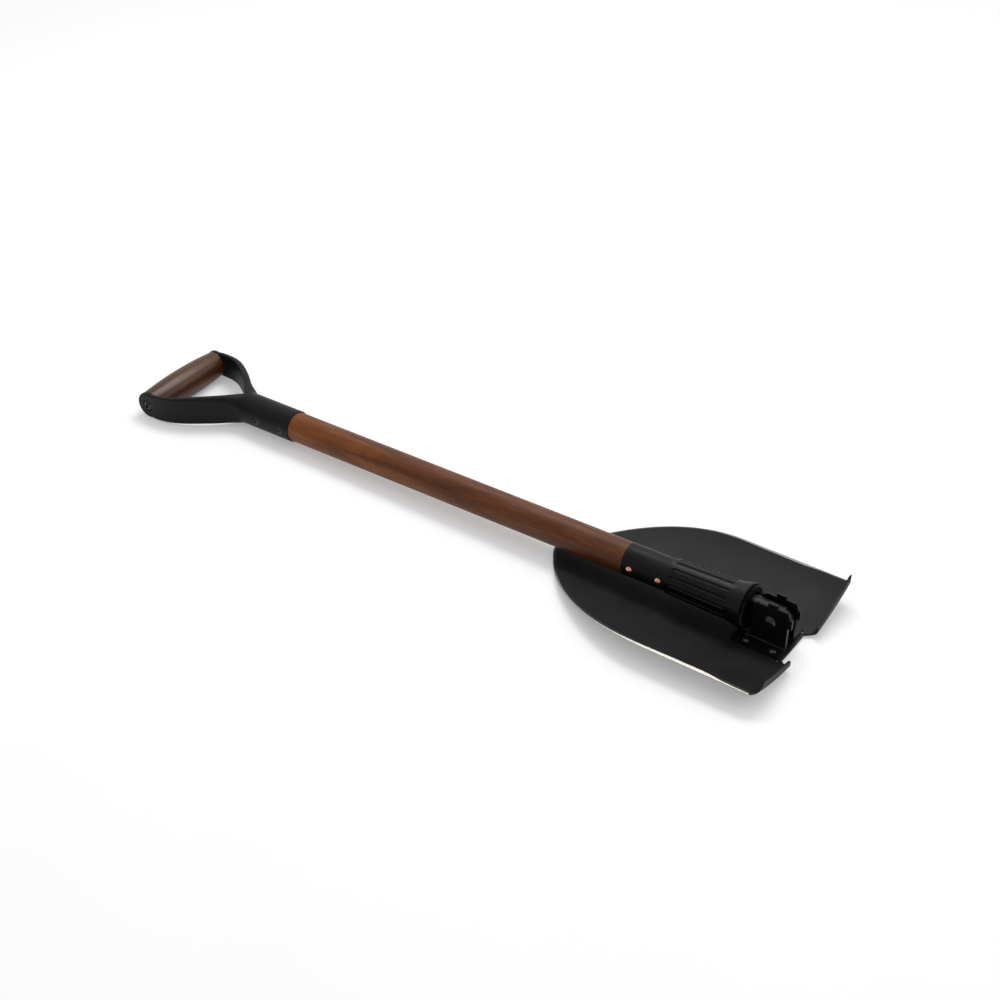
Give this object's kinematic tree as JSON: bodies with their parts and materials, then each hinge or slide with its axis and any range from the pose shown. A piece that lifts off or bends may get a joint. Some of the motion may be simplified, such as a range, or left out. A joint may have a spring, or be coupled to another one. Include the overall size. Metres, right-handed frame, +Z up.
{
  "type": "folding camp shovel",
  "caption": "Folding camp shovel with a stained wood shaft, black D-handle, twist lock collar and dished steel blade, shown folded.",
  "frame": {"origin": "bottom centre of the folded shovel's box", "axes": "+X runs along the shaft from the D-handle towards the hinge, +Y is to its left seen from the handle, +Z is up and out of the blade's hollow side as it lies folded"},
  "size_m": [0.6956, 0.17, 0.0465],
  "materials": {
    "stained_wood": "satin oil stain",
    "black_steel": "matte black powder coat",
    "black_polymer": "fine moulded grain",
    "blade_steel": "satin charcoal coat, ground edge left bare",
    "bare_steel": "machined",
    "black_fastener": "black oxide, low sheen",
    "copper": "polished copper",
    "bronze": "oiled bearing bronze"
  },
  "bodies": {
    "handle": {"wood_shaft": "stained_wood", "handle_yoke": "black_steel", "wood_grip": "stained_wood", "grip_rod": "bare_steel", "grip_screws": "black_fastener", "socket_bolts": "black_fastener", "socket_sleeve_nuts": "black_fastener", "ferrule": "black_steel", "ferrule_rivets": "copper", "hinge_stud": "bare_steel", "pivot_bush": "bronze"},
    "keyed_ring": {"keyed_washer": "bare_steel"},
    "collar": {"collar_grip": "black_polymer", "collar_nut": "bare_steel"},
    "blade_part": {"blade": "blade_steel", "left_ear": "black_steel", "right_ear": "black_steel", "ear_rivets": "bare_steel", "pivot_bolt": "black_fastener", "pivot_nut": "black_fastener", "pivot_washers": "bare_steel"}
  },
  "joints": [
    {"name": "collar_slide", "type": "slide", "parent": "handle", "child": "keyed_ring", "axis": [1, 0, 0], "range_m": [-0.0028, 0.003]},
    {"name": "collar_turn", "type": "hinge", "parent": "keyed_ring", "child": "collar", "pos_m": [0.27, 0, 0.02646], "axis": [1, 0, 0], "range_deg": [-254, 272]},
    {"name": "blade_fold", "type": "hinge", "parent": "handle", "child": "blade_part", "pos_m": [0.319, 0, 0.02646], "axis": [0, -1, 0], "range_deg": [0, 181.4]}
  ],
  "couplings": [
    {"joint": "collar_turn", "follows": "collar_slide", "rad_per_m": 1570.8}
  ]
}
